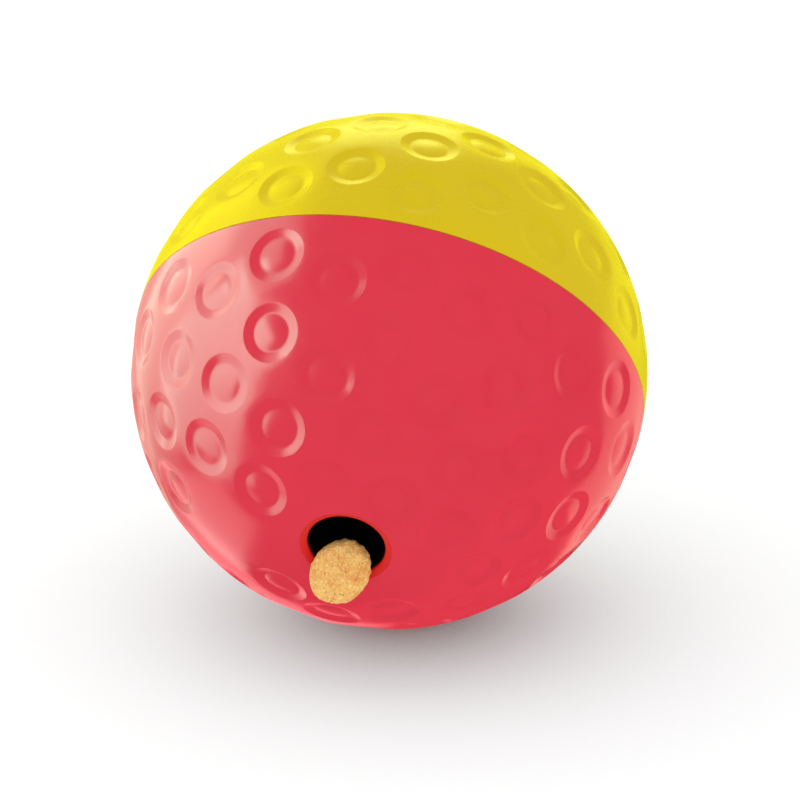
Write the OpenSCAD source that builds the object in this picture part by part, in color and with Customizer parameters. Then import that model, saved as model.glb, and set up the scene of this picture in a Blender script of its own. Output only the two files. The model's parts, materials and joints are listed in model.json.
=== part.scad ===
// A treat ball: two dimpled half shells that twist together, a mouth with a chute behind it,
// a biscuit on its way out and a handful of loose biscuits inside.
// Millimetres, +Z up. The origin is on the floor, under the middle of the dimple the ball rests on.
// The shells are drawn in the ball's own frame: its centre at the origin, the yellow pole at +Z.

/* [Ball] */
// Outside diameter of the ball
ball_d = 127; // [122:1:132]
// Wall thickness of both half shells
wall = 3; // [2.8:0.1:3.4]
// Gap between the two rims at the seam
seam_gap = 0.2; // [0.15:0.05:0.3]
// Bevel on the outer edge of each rim
seam_bevel = 0.3; // [0.2:0.1:0.6]

/* [Dimples] */
// Diameter of a dimple at the ball's surface
dimple_d = 14.2; // [13.4:0.2:14.4]
// Diameter of the domed floor of a dimple
dimple_floor_d = 9.2; // [8.6:0.2:9.6]
// Depth at the foot of a dimple's wall
dimple_depth = 0.85; // [0.7:0.05:1]
// Depth at the top of a dimple's domed floor
dome_depth = 0.5; // [0.4:0.05:0.55]
// Dimples in each full row
row_count = 12; // [12:12:12]
// Angle from the pole to the first row, next to the seam
row_1_angle = 80.6; // [80.2:0.1:81]
// Angle from the pole to the second row
row_2_angle = 74.8; // [74.2:0.1:75.4]
// Angle from the pole to the third row
row_3_angle = 63.3; // [62.8:0.1:63.8]
// Angle from the pole to the fourth row, which the ball rests on
row_4_angle = 54.3; // [53.8:0.1:54.8]
// Angle from the pole to the fifth row
row_5_angle = 43.1; // [42.6:0.1:43.6]
// Angle from the pole to the sixth row
row_6_angle = 30.2; // [30:0.1:30.6]
// Angle from the pole to the short row round the pole
polar_row_angle = 14.4; // [14.2:0.1:14.6]
// How far the yellow half's columns stand round from the red half's
column_offset = 2.4; // [0:0.1:4]

/* [Mouth] */
// Bore of the mouth and the chute
mouth_d = 18.6; // [18:0.1:19]
// Outer diameter of the bevelled lip round the mouth
lip_d = 21.8; // [21:0.1:21.8]
// Depth of the bevelled lip
lip_depth = 0.8; // [0.6:0.1:1]
// Angle from the red pole to the middle of the mouth
mouth_angle = 14.4; // [14.2:0.1:14.6]

/* [Chute] */
// Wall of the chute
chute_wall = 1.9; // [1.6:0.1:2.2]
// Length of the chute
chute_len = 23; // [20:1:26]
// Collar on the chute that stops against the socket
chute_collar_h = 2.2; // [1.8:0.1:3]
// Flare on the chute's inner end
chute_flare = 1; // [0.6:0.1:1.2]
// Wall of the socket that holds the chute
socket_wall = 2.2; // [1.8:0.1:2.6]
// How far the socket reaches in from the inside of the shell
socket_len = 8; // [6:0.5:9]
// Plastic left in front of the chute's outer end
mouth_land = 0.9; // [0.7:0.1:1.1]

/* [Twist lock] */
// Lugs on the red half's spigot
lug_count = 4; // [3:1:5]
// Angle that one lug spans
lug_angle = 20; // [16:1:22]
// Turn from locked to open
twist_angle = 30; // [28:1:32]
// Extra angle of a notch past its lug
notch_extra = 5; // [4:1:6]
// Wall of the spigot
spigot_wall = 2.2; // [1.8:0.1:2.6]
// How far a lug stands out from the spigot
lug_reach = 2; // [1.6:0.1:2.1]
// Height of a lug
lug_h = 2.8; // [2:0.1:3.2]
// Thickness of the yellow half's notched flange
flange_h = 3.2; // [2.6:0.1:3.6]
// How far the spigot's shoulder and the flange stand back from the rims
rim_relief = 0.4; // [0.3:0.1:0.6]
// Angle that one stop rib spans
stop_angle = 4; // [3:0.5:6]

/* [Biscuits] */
// Diameter of a biscuit
biscuit_d = 15; // [14:0.2:15.4]
// Thickness of a biscuit at its middle
biscuit_h = 6.4; // [5.6:0.2:7]
// Radius of a biscuit's rounded edge
biscuit_edge = 2.6; // [2.2:0.1:2.7]
// Lean of the leaving biscuit's face, up from the mouth's axis
biscuit_lean = 43; // [40:1:46]
// How far the leaving biscuit's middle stands up from where it leans on the lip
biscuit_up = 1; // [0.6:0.2:1.6]
// Loose biscuits in the ring round the lowest one
loose_count = 6; // [4:1:6]
// Angle from the lowest biscuit to that ring, seen from the ball's centre
loose_angle = 15.8; // [15.6:0.1:16]

/* [Fits] */
// Clearance between pieces that move past each other
run_gap = 0.3; // [0.25:0.05:0.35]
// Clearance between the chute and its socket
press_gap = 0.05; // [0.02:0.01:0.1]

/* [Hidden] */
$fn = 96;

RED = [0.87, 0.2, 0.25];
YELLOW = [0.98, 0.86, 0.12];
BLACK = [0.05, 0.05, 0.05];
TAN = [0.9, 0.72, 0.42];

// Overshoot of every cutter past the face that it opens
over = 1;

// The ball
ball_r = ball_d / 2;
inner_r = ball_r - wall;
// A radius inside the wall, where rings on the inside take root
root_r = ball_r - 0.8 * wall;

// Dimples: a cone for the wall and a sphere for the floor
dimple_r = dimple_d / 2;
floor_r = dimple_floor_d / 2;
dimple_edge_z = on_sphere(ball_r, dimple_r);
floor_edge_z = on_sphere(ball_r, floor_r) - dimple_depth;
wall_slope = (dimple_r - floor_r) / (dimple_edge_z - floor_edge_z);
dome_rise = ball_r - dome_depth - floor_edge_z;
dome_r = (floor_r * floor_r + dome_rise * dome_rise) / (2 * dome_rise);
// How far the cone runs on past its wall: at the foot into the dome, and at the edge out of the ball
cone_under = 0.25;
cone_over = 0.02;
column_pitch = 360 / row_count;
row_angles = [row_1_angle, row_2_angle, row_3_angle, row_4_angle, row_5_angle, row_6_angle];
polar_count = row_count / 2;
polar_pitch = 360 / polar_count;
// The sixth row's places 2 and 3 on the red half stay bare
bare_row = 5;
bare_places = [2, 3];

// How the ball stands: on one dimple of the fourth row, half a column round from the mouth
stance_tilt = row_4_angle;
stance_spin = column_pitch / 2;
centre_h = dimple_edge_z;

// Mouth and chute, measured along the mouth's axis from the ball's centre
mouth_r = mouth_d / 2;
lip_r = lip_d / 2;
lip_z = on_sphere(ball_r, lip_r);
mouth_z = lip_z - lip_depth;
chute_r = mouth_r + chute_wall;
chute_top = mouth_z - mouth_land;
chute_end = chute_top - chute_len;
socket_r = chute_r + press_gap;
socket_end = inner_r - socket_len;
collar_r = socket_r + socket_wall;

// Twist lock, measured from the ball's polar axis and the seam
flange_z = seam_gap + rim_relief;
lug_z = flange_z + flange_h + run_gap;
lug_r = on_sphere(inner_r, lug_z + lug_h) - 2 * run_gap;
lug_pitch = 360 / lug_count;
spigot_r = lug_r - lug_reach;
spigot_inner_r = spigot_r - spigot_wall;
spigot_h = lug_z + lug_h + rim_relief;
spigot_root_h = 3;
spigot_skirt_h = 9;
notch_angle = lug_angle + notch_extra;
stop_gap_angle = 0.5;

// Biscuits
biscuit_r = biscuit_d / 2;
biscuit_face_r = biscuit_r - biscuit_edge;
biscuit_dome = biscuit_h / 2 - biscuit_edge;
biscuit_dome_r = (biscuit_face_r * biscuit_face_r + biscuit_dome * biscuit_dome) / (2 * biscuit_dome);
// The leaving biscuit leans on the lip at two places, a little further apart than its face is wide
lean_y = on_sphere(lip_r, biscuit_face_r + biscuit_edge / 4);
// A loose biscuit lies on the wall with the middle of its domed face
loose_z = inner_r - run_gap - biscuit_h / 2;

// Height of a sphere of radius r over its centre, at the distance a from its axis
function on_sphere(r, a) = sqrt(r * r - a * a);

// Puts a piece drawn in the ball's frame where it stands on the floor
module stand() {
    translate([0, 0, centre_h])
        rotate([-stance_tilt, 0, 0])
            rotate([0, 0, stance_spin])
                children();
}

// Turns +Z to a place on the red half: an angle from its pole and an angle round from the mouth
module at_place(angle, round_from_mouth) {
    rotate([0, 0, -round_from_mouth])
        rotate([180 - angle, 0, 0])
            children();
}

// Turns +Z to the mouth's axis
module at_mouth() {
    at_place(mouth_angle, 0) children();
}

// One dimple: a cone down to the floor under a straight neck, less the dome that rises from the floor.
// The neck leaves the ball without meeting the cutters of the dimples around it.
module dimple_cutter() {
    low_z = floor_edge_z - cone_under;
    neck_z = dimple_edge_z + cone_over;
    neck_r = dimple_r + cone_over * wall_slope;
    difference() {
        rotate_extrude()
            polygon([
                [0, low_z],
                [floor_r - cone_under * wall_slope, low_z],
                [neck_r, neck_z],
                [neck_r, ball_r + over],
                [0, ball_r + over],
            ]);
        translate([0, 0, ball_r - dome_depth - dome_r])
            sphere(r = dome_r);
    }
}

// The six full rows of one half, with every other row half a column round
module full_rows(with_bare_places) {
    for (row = [0 : len(row_angles) - 1], place = [0 : row_count - 1]) {
        bare = with_bare_places && row == bare_row && len(search(place, bare_places)) > 0;
        if (!bare)
            at_place(row_angles[row], column_pitch * (place + (row % 2) / 2))
                dimple_cutter();
    }
}

// Dimples of the short row round the pole, at the places given
module polar_row(places) {
    for (place = places)
        at_place(polar_row_angle, polar_pitch * place)
            dimple_cutter();
}

// Outline of a hollow half ball below the seam, with a bevel on its outer rim
module half_outline(rim_z) {
    intersection() {
        difference() {
            circle(r = ball_r);
            circle(r = inner_r);
        }
        polygon([
            [0, rim_z],
            [ball_r - seam_bevel, rim_z],
            [ball_r + over, rim_z - seam_bevel - over],
            [ball_r + over, -ball_r - over],
            [0, -ball_r - over],
        ]);
    }
}

// Outline of the spigot inside the red rim, on a skirt that tapers into the wall
module spigot_outline() {
    polygon([
        [spigot_inner_r, -spigot_root_h],
        [root_r, -spigot_skirt_h],
        [root_r, -rim_relief],
        [spigot_r, -rim_relief],
        [spigot_r, spigot_h],
        [spigot_inner_r, spigot_h],
    ]);
}

// Outline of the flange inside the yellow rim
module flange_outline() {
    translate([spigot_r + run_gap, flange_z])
        square([root_r - spigot_r - run_gap, flange_h]);
}

// A ring sector between two radii and two heights, centred on the angle given
module sector(r_in, r_out, z_low, z_high, middle, span) {
    rotate([0, 0, middle - span / 2])
        rotate_extrude(angle = span)
            translate([r_in, z_low])
                square([r_out - r_in, z_high - z_low]);
}

// The lugs round the spigot
module lugs() {
    for (i = [0 : lug_count - 1])
        sector(spigot_r - spigot_wall / 2, lug_r, lug_z, lug_z + lug_h, i * lug_pitch, lug_angle);
}

// The notches in the flange that let the lugs through
module notches() {
    for (i = [0 : lug_count - 1])
        sector(
            spigot_r - over, lug_r + run_gap,
            flange_z - over, flange_z + flange_h + over,
            i * lug_pitch - twist_angle, notch_angle
        );
}

// The ribs on the flange that stop the lugs when the lock is closed
module stops() {
    stop_middle = (lug_angle + stop_angle) / 2 + stop_gap_angle;
    for (i = [0 : lug_count - 1])
        sector(
            spigot_r + 2 * run_gap, root_r,
            flange_z + flange_h / 2, lug_z + lug_h,
            i * lug_pitch + stop_middle, stop_angle
        );
}

module red_shell() {
    color(RED) stand() difference() {
        union() {
            rotate_extrude() {
                half_outline(0);
                spigot_outline();
            }
            lugs();
            at_mouth()
                translate([0, 0, socket_end])
                    cylinder(r = collar_r, h = chute_top - socket_end + mouth_land / 2);
        }
        full_rows(true);
        // The mouth takes the short row's first place and leaves no room at the two beside it
        polar_row([2 : polar_count - 2]);
        at_mouth() {
            // The bore through the wall
            cylinder(r = mouth_r, h = ball_r + over);
            // The bevelled lip
            translate([0, 0, mouth_z])
                cylinder(
                    r1 = mouth_r,
                    r2 = mouth_r + (lip_r - mouth_r) * (ball_r + over - mouth_z) / lip_depth,
                    h = ball_r + over - mouth_z
                );
            // The socket for the chute
            cylinder(r = socket_r, h = chute_top);
        }
    }
}

module yellow_shell() {
    color(YELLOW) stand() difference() {
        union() {
            rotate_extrude() {
                mirror([0, 1]) half_outline(-seam_gap);
                flange_outline();
            }
            stops();
        }
        notches();
        rotate([0, 0, -column_offset]) mirror([0, 0, 1]) {
            full_rows(false);
            polar_row([0 : polar_count - 1]);
            at_place(0, 0) dimple_cutter();
        }
    }
}

module treat_chute() {
    color(BLACK) stand() at_mouth()
        rotate_extrude()
            polygon([
                [mouth_r, chute_top],
                [chute_r, chute_top],
                [chute_r, socket_end],
                [collar_r, socket_end],
                [collar_r, socket_end - chute_collar_h],
                [chute_r, socket_end - chute_collar_h],
                [chute_r, chute_end],
                [mouth_r + chute_flare, chute_end],
                [mouth_r, chute_end + 2 * chute_flare],
            ]);
}

// A biscuit about the origin: a flat round core, a rounded edge and two domed faces
module one_biscuit() {
    rotate_extrude()
        intersection() {
            union() {
                translate([biscuit_face_r, 0])
                    circle(r = biscuit_edge);
                translate([0, -biscuit_edge])
                    square([biscuit_face_r, 2 * biscuit_edge]);
            }
            translate([0, -biscuit_h])
                square([biscuit_d, 2 * biscuit_h]);
        }
    intersection() {
        cylinder(r = biscuit_face_r + biscuit_edge / 2, h = biscuit_h, center = true);
        translate([0, 0, biscuit_h / 2 - biscuit_dome_r])
            sphere(r = biscuit_dome_r);
        translate([0, 0, biscuit_dome_r - biscuit_h / 2])
            sphere(r = biscuit_dome_r);
    }
}

module biscuit() {
    color(TAN) stand() at_mouth()
        translate([0, -lean_y, lip_z])
            rotate([-biscuit_lean, 0, 0])
                translate([0, biscuit_up, biscuit_h / 2 + run_gap])
                    one_biscuit();
}

module loose_biscuits() {
    color(TAN) translate([0, 0, centre_h]) {
        translate([0, 0, -loose_z]) one_biscuit();
        for (i = [0 : loose_count - 1])
            rotate([0, 0, i * 360 / loose_count])
                rotate([loose_angle, 0, 0])
                    translate([0, 0, -loose_z])
                        one_biscuit();
    }
}

red_shell();
yellow_shell();
treat_chute();
biscuit();
loose_biscuits();
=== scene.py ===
"""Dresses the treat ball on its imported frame.

The half shells, the chute and the biscuits are built as fine meshes in the place of their solids, each gets
a procedural finish, and a plain pale studio with soft light and a camera stands round them. Sizes are
millimetres while a piece is being built, and metres once it is a Blender object.
"""

import json
import logging
import math
from collections.abc import Sequence
from dataclasses import dataclass, field
from enum import Enum
from typing import ClassVar

import bpy
import numpy as np
from mathutils import Matrix, Vector, noise
from mathutils.geometry import delaunay_2d_cdt


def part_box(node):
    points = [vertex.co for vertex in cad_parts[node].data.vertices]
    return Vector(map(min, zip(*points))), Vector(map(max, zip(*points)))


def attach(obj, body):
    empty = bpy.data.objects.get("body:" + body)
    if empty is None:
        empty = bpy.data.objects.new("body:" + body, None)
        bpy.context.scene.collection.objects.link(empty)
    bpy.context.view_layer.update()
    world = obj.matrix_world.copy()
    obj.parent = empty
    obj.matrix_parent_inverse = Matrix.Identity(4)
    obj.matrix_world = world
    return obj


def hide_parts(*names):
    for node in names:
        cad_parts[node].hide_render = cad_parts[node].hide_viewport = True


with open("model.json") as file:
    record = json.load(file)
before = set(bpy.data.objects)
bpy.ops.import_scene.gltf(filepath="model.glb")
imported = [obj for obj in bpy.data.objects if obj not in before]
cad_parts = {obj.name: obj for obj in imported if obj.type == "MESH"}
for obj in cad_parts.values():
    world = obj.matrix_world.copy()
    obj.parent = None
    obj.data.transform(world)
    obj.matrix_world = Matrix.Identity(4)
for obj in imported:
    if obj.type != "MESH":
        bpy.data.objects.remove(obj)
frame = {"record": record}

LOG = logging.getLogger("treat_ball")
MM = 0.001
GOLDEN_TURN = math.pi * (3 - math.sqrt(5))
UP = Vector((0, 0, 1)).freeze()
# Where a colour mix has its two colours and its result among its sockets
MIX_FIRST, MIX_SECOND, MIX_RESULT = 6, 7, 2

Socket = bpy.types.NodeSocket
Material = bpy.types.Material
Object = bpy.types.Object
Ring = list[int]
Profile = list[tuple[float, float]]
Colour = tuple[float, float, float]


class Body(Enum):
    """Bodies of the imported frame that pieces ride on."""

    RED_HALF = "red_half"
    YELLOW_HALF = "yellow_half"
    LEAVING_BISCUIT = "leaving_biscuit"
    FILL = "fill"


class Slot(Enum):
    """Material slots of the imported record."""

    RED = "red_plastic"
    YELLOW = "yellow_plastic"
    BLACK = "black_plastic"
    BISCUIT = "biscuit"


def joint_of(name: str) -> dict:
    """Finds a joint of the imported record.

    Args:
        name: The joint's name.

    Returns:
        The record's entry for that joint.
    """
    return next(j for j in frame["record"]["behaviour"]["joints"] if j["name"] == name)


def turn(degrees: float, axis: str) -> Matrix:
    """A turn about one of the axes, as a 4x4 matrix."""
    return Matrix.Rotation(math.radians(degrees), 4, axis)


def on_sphere(radius: float, off: float) -> float:
    """Height of a sphere over its centre, at a distance off its axis."""
    return math.sqrt(radius * radius - off * off)


def eased_corners(corners: Profile, ease: float, steps: int = 3, share: float = 0.45) -> Profile:
    """Rounds the inner corners of an open section.

    Args:
        corners: The section's corners, as distance from the axis and height.
        ease: How far from a corner its rounding starts; a short side takes less.
        steps: Pieces that each rounding is cut into.
        share: Largest share of a side that a rounding takes.

    Returns:
        The section with a small curve in place of each corner but the first and the last.
    """
    points = [Vector(c) for c in corners]
    out = [corners[0]]
    for before, here, after in zip(points, points[1:], points[2:]):
        room = min(ease, share * (before - here).length, share * (after - here).length)
        start = here + (before - here).normalized() * room
        end = here + (after - here).normalized() * room
        for k in range(steps + 1):
            t = k / steps
            p = start * (1 - t) ** 2 + here * (2 * t * (1 - t)) + end * t * t
            out.append((p.x, p.y))
    out.append(corners[-1])
    return out


class Surface:
    """Points and faces of one piece while it is being built, in millimetres."""

    def __init__(self) -> None:
        """Starts with no points and no faces."""
        self.points: list[Vector] = []
        self.faces: list[tuple[int, ...]] = []

    def add(self, points: Sequence[Vector]) -> Ring:
        """Adds points.

        Args:
            points: The points to add.

        Returns:
            Their places in the list of points.
        """
        first = len(self.points)
        self.points.extend(points)
        return list(range(first, len(self.points)))

    def bridge(self, outer: Ring, inner: Ring) -> None:
        """Joins two rings by quads that look towards the side on which both run anticlockwise.

        Args:
            outer: The outer ring.
            inner: The inner ring, with as many points.
        """
        for i in range(len(outer)):
            j = (i + 1) % len(outer)
            self.faces.append((outer[i], outer[j], inner[j], inner[i]))

    def fan(self, ring: Ring, hub: int) -> None:
        """Closes a ring by triangles to one point inside it."""
        for i in range(len(ring)):
            self.faces.append((ring[i], ring[(i + 1) % len(ring)], hub))

    def ring(self, axis: Vector, off: float, height: float, count: int) -> Ring:
        """Adds a ring of points round an axis through the origin.

        Args:
            axis: The unit direction of the axis.
            off: The ring's radius.
            height: How far along the axis the ring lies.
            count: Points in the ring.

        Returns:
            The ring's places in the list of points.
        """
        u = axis.orthogonal().normalized()
        v = axis.cross(u)
        steps = [math.tau * k / count for k in range(count)]
        return self.add([axis * height + (u * math.cos(a) + v * math.sin(a)) * off for a in steps])

    def chain(self, rings: Sequence[Ring], flip: bool = False) -> None:
        """Joins each ring to the next; flipped, the faces look the other way."""
        for before, after in zip(rings, rings[1:]):
            self.bridge(*((after, before) if flip else (before, after)))

    def lathe(
        self, axis: Vector, section: Profile, start: Ring, end: Ring | None = None, flip: bool = False
    ) -> Ring:
        """Turns a section round an axis, on from a ring that is there already.

        Args:
            axis: The unit direction of the axis.
            section: The section past the first ring, as distance from the axis and height.
            start: The ring to start from.
            end: A ring that is there already and ends the section, if there is one.
            flip: True if the faces look the other way.

        Returns:
            The last ring.
        """
        rings = [start, *(self.ring(axis, off, height, len(start)) for off, height in section)]
        if end is not None:
            rings.append(end)
        self.chain(rings, flip)
        return rings[-1]

    def sector(
        self, r_in: float, r_out: float, low: float, high: float, middle: float, span: float,
        step: float = 2.5,
    ) -> None:
        """Adds a closed block that is a part of a ring round +Z.

        Args:
            r_in: Inner radius.
            r_out: Outer radius.
            low: Height of its lower face.
            high: Height of its upper face.
            middle: Angle of its middle, in degrees.
            span: Angle that it spans, in degrees.
            step: Angle of one cut, in degrees.
        """
        cuts = max(2, round(span / step))
        corners = ((r_in, low), (r_out, low), (r_out, high), (r_in, high))
        rings = []
        for k in range(cuts + 1):
            a = math.radians(middle - span / 2 + span * k / cuts)
            rings.append(self.add([Vector((r * math.cos(a), r * math.sin(a), z)) for r, z in corners]))
        self.chain(rings, flip=True)
        self.faces.append(tuple(rings[0]))
        self.faces.append(tuple(reversed(rings[-1])))

    def make(self, name: str, place: Matrix, sharp: float) -> Object:
        """Turns the surface into a Blender object.

        Args:
            name: The object's name.
            place: Where the surface goes, in millimetres.
            sharp: The angle in degrees from which an edge isn't shaded smooth.

        Returns:
            The new object, linked to the scene.
        """
        mesh = bpy.data.meshes.new(name)
        mesh.from_pydata([(place @ p) * MM for p in self.points], [], self.faces)
        mesh.validate()
        mesh.polygons.foreach_set("use_smooth", [True] * len(mesh.polygons))
        mesh.set_sharp_from_angle(angle=math.radians(sharp))
        mesh.update()
        made = bpy.data.objects.new(name, mesh)
        bpy.context.scene.collection.objects.link(made)
        return made


@dataclass(frozen=True)
class Hole:
    """A round gap that a skin leaves open.

    Attributes:
        axis: Unit direction from the ball's centre.
        radius: Radius off that axis.
        count: Points round its edge.
    """

    axis: Vector
    radius: float
    count: int


@dataclass(frozen=True)
class SphereSkin:
    """An even net of triangles on a sphere, from its pole at +Z down to a level rim.

    Attributes:
        radius: Radius of the sphere.
        rim_z: Height of the rim over the sphere's centre.
        rim_count: Points round the rim.
        spacing: Distance between neighbouring points of the net.
        cell: Area that a point takes, as a share of the spacing squared.
        clear: Distance from the rim and the holes to the net, as a share of the spacing.
        merged: Distance at which two points count as one.
    """

    radius: float
    rim_z: float
    rim_count: int
    spacing: float
    cell: float = 0.866
    clear: float = 0.62
    merged: float = 1e-9

    def net(self, holes: Sequence[Hole]) -> list[Vector]:
        """Spreads points evenly over the skin, clear of the rim and the holes.

        Args:
            holes: The gaps to keep clear of.

        Returns:
            The points.
        """
        band = 1 - self.rim_z / self.radius
        count = round(math.tau * self.radius**2 * band / (self.spacing**2 * self.cell))
        k = np.arange(count)
        z = 1 - (k + 0.5) / count * band
        flat = np.sqrt(1 - z * z)
        spread = np.stack([flat * np.cos(k * GOLDEN_TURN), flat * np.sin(k * GOLDEN_TURN), z], axis=1)
        clear = self.clear * self.spacing / self.radius
        keep = np.arccos(z) < math.acos(self.rim_z / self.radius) - clear
        for hole in holes:
            away = np.arccos(np.clip(spread @ np.array(hole.axis), -1, 1))
            keep &= away > math.asin(hole.radius / self.radius) + clear
        return [Vector(p) * self.radius for p in spread[keep]]

    def lay(self, surface: Surface, holes: Sequence[Hole], inward: bool = False) -> tuple[Ring, list[Ring]]:
        """Adds the skin to a surface.

        Args:
            surface: The surface to add to.
            holes: The gaps to leave open.
            inward: True if the faces look to the sphere's centre.

        Returns:
            The ring of the rim, and the ring of each hole.
        """
        first = len(surface.points)
        rim = surface.ring(UP, on_sphere(self.radius, self.rim_z), self.rim_z, self.rim_count)
        rings = [surface.ring(h.axis, h.radius, on_sphere(self.radius, h.radius), h.count) for h in holes]
        surface.add(self.net(holes))
        owner = {p: n for n, ring in enumerate(rings) for p in ring}
        flat = [Vector((p.x, p.y)) / (self.radius + p.z) for p in surface.points[first:]]
        _, _, triangles, source, _, _ = delaunay_2d_cdt(flat, [], [], 0, self.merged)
        for triangle in triangles:
            a, b, c = (source[p][0] + first for p in triangle)
            if a in owner and owner.get(a) == owner.get(b) == owner.get(c):
                continue
            surface.faces.append((c, b, a) if inward else (a, b, c))
        return rim, rings


@dataclass(frozen=True)
class Dimple:
    """Section of a dimple: a sloped wall down to a domed floor, with both edges eased.

    Attributes:
        ball_r: Radius of the ball.
        edge_r: Radius of the dimple at the ball's surface.
        floor_r: Radius of its domed floor.
        depth: Depth at the foot of the wall.
        dome_depth: Depth at the top of the floor.
        edge_out: How far the upper edge's rounding reaches out over the ball.
        edge_ease: How far it reaches down the wall.
        foot_ease: How far the rounding at the foot of the wall reaches to either side.
        count: Points round each of its rings.
        ease_steps: Heights that are averaged to either side of a point.
        edge_rings: Rings below the edge, in lengths of its rounding.
        wall_rings: Rings on the wall, as shares of it.
        foot_rings: Rings about the foot, in lengths of its rounding.
        floor_rings: Rings on the floor, as shares of its radius.
    """

    ball_r: float
    edge_r: float = 7.1
    floor_r: float = 4.6
    depth: float = 0.85
    dome_depth: float = 0.5
    edge_out: float = 0.1
    edge_ease: float = 0.45
    foot_ease: float = 0.5
    count: int = 44
    ease_steps: int = 4
    edge_rings: tuple[float, ...] = (0.25, 0.5, 0.8, 1.2, 1.7)
    wall_rings: tuple[float, ...] = (0.6, 0.4)
    foot_rings: tuple[float, ...] = (0.9, 0.5, 0.1, -0.3, -0.7, -1.1)
    floor_rings: tuple[float, ...] = (0.75, 0.55, 0.3)

    @property
    def reach(self) -> float:
        """Radius at which the dimple meets the plain ball."""
        return self.edge_r + self.edge_out

    def height(self, off: float) -> float:
        """Height of the plain section over the ball's centre.

        Args:
            off: Distance off the dimple's axis.

        Returns:
            The height.
        """
        edge_z = on_sphere(self.ball_r, self.edge_r)
        foot_z = on_sphere(self.ball_r, self.floor_r) - self.depth
        if off >= self.edge_r:
            return on_sphere(self.ball_r, off)
        if off >= self.floor_r:
            return foot_z + (edge_z - foot_z) * (off - self.floor_r) / (self.edge_r - self.floor_r)
        rise = self.ball_r - self.dome_depth - foot_z
        dome_r = (self.floor_r**2 + rise**2) / (2 * rise)
        return foot_z + rise - dome_r + on_sphere(dome_r, off)

    def eased(self, off: float) -> float:
        """Height of the section with its edges eased.

        Args:
            off: Distance off the dimple's axis.

        Returns:
            The mean height over a short stretch to either side.
        """
        half_way = (self.edge_r + self.floor_r) / 2
        reach = min(self.edge_ease, self.reach - off) if off > half_way else self.foot_ease
        steps = self.ease_steps
        beside = [off + reach * k / steps for k in range(-steps, steps + 1)]
        return sum(self.height(abs(s)) for s in beside) / len(beside)

    def radii(self) -> list[float]:
        """Lists the rings inside the edge, closest together where the section bends most.

        Returns:
            Their radii, from the edge inwards.
        """
        near_edge = [self.reach - self.edge_ease * k for k in self.edge_rings]
        wall = [self.floor_r + (self.edge_r - self.floor_r) * k for k in self.wall_rings]
        near_foot = [self.floor_r + self.foot_ease * k for k in self.foot_rings]
        floor = [self.floor_r * k for k in self.floor_rings]
        return near_edge + wall + near_foot + floor

    def sink(self, surface: Surface, axis: Vector, edge: Ring) -> None:
        """Fills a hole of a skin with a dimple.

        Args:
            surface: The surface to add to.
            axis: The dimple's axis.
            edge: The hole's ring.
        """
        section = [(off, self.eased(off)) for off in self.radii()]
        last = surface.lathe(axis, section, edge)
        hub = surface.add([axis * self.eased(0.0)])[0]
        surface.fan(last, hub)


@dataclass(frozen=True)
class Ball:
    """The sizes that all pieces share, and where the ball stands.

    Attributes:
        radius: Radius of the ball.
        wall: Thickness of both shells.
        seam_gap: Gap between the rims.
        row_count: Dimples in each full row.
        row_angles: Angle from the pole to each full row.
        polar_angle: Angle from the pole to the short row round it.
        polar_count: Places in that row.
        column_offset: How far the yellow half's columns stand round from the red half's.
        mouth_angle: Angle from the red pole to the mouth.
        mouth_r: Radius of the mouth and the chute's bore.
        lip_r: Outer radius of the bevelled lip.
        lip_depth: Depth of the lip.
        mouth_land: Plastic in front of the chute's outer end.
        chute_wall: Wall of the chute.
        socket_len: How far the chute's socket reaches in from the shell.
        run_gap: Clearance of pieces that move past each other.
        root_share: How deep from outside the rings on the inside take root, as a share of the wall.
    """

    radius: float = 63.5
    wall: float = 3.0
    seam_gap: float = 0.2
    row_count: int = 12
    row_angles: tuple[float, ...] = (80.6, 74.8, 63.3, 54.3, 43.1, 30.2)
    polar_angle: float = 14.4
    polar_count: int = 6
    column_offset: float = 2.4
    mouth_angle: float = 14.4
    mouth_r: float = 9.3
    lip_r: float = 10.9
    lip_depth: float = 0.8
    mouth_land: float = 0.9
    chute_wall: float = 1.9
    socket_len: float = 8.0
    run_gap: float = 0.3
    root_share: float = 0.8

    @property
    def inner_r(self) -> float:
        """Radius of the inside of the shells."""
        return self.radius - self.wall

    @property
    def root_r(self) -> float:
        """A radius inside the wall, where rings on the inside take root."""
        return self.radius - self.root_share * self.wall

    @property
    def column_pitch(self) -> float:
        """Angle from one dimple of a row to the next."""
        return 360 / self.row_count

    @property
    def centre(self) -> Vector:
        """Middle of the ball in the frame, which the twist joint gives."""
        return Vector(joint_of("twist_lock")["pos_m"]) / MM

    @property
    def stand(self) -> Matrix:
        """From the ball's own frame, with the yellow pole at +Z, to where it stands on the floor.

        Returns:
            The turn and move, in millimetres.
        """
        pole = Vector(joint_of("twist_lock")["axis"])
        tilt = math.degrees(math.atan2(pole.y, pole.z))
        return Matrix.Translation(self.centre) @ turn(-tilt, "X") @ turn(self.column_pitch / 2, "Z")

    @property
    def at_mouth(self) -> Matrix:
        """From a frame with the mouth's axis at +Z to where the ball stands."""
        return self.stand @ turn(180 - self.mouth_angle, "X")

    @property
    def lip_z(self) -> float:
        """Height of the lip's outer edge along the mouth's axis."""
        return on_sphere(self.radius, self.lip_r)

    @property
    def mouth_z(self) -> float:
        """Height of the lip's inner edge."""
        return self.lip_z - self.lip_depth

    @property
    def chute_top(self) -> float:
        """Height of the chute's outer end."""
        return self.mouth_z - self.mouth_land

    @property
    def chute_r(self) -> float:
        """Outer radius of the chute."""
        return self.mouth_r + self.chute_wall

    @property
    def socket_end(self) -> float:
        """Height of the socket's inner end."""
        return self.inner_r - self.socket_len


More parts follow.
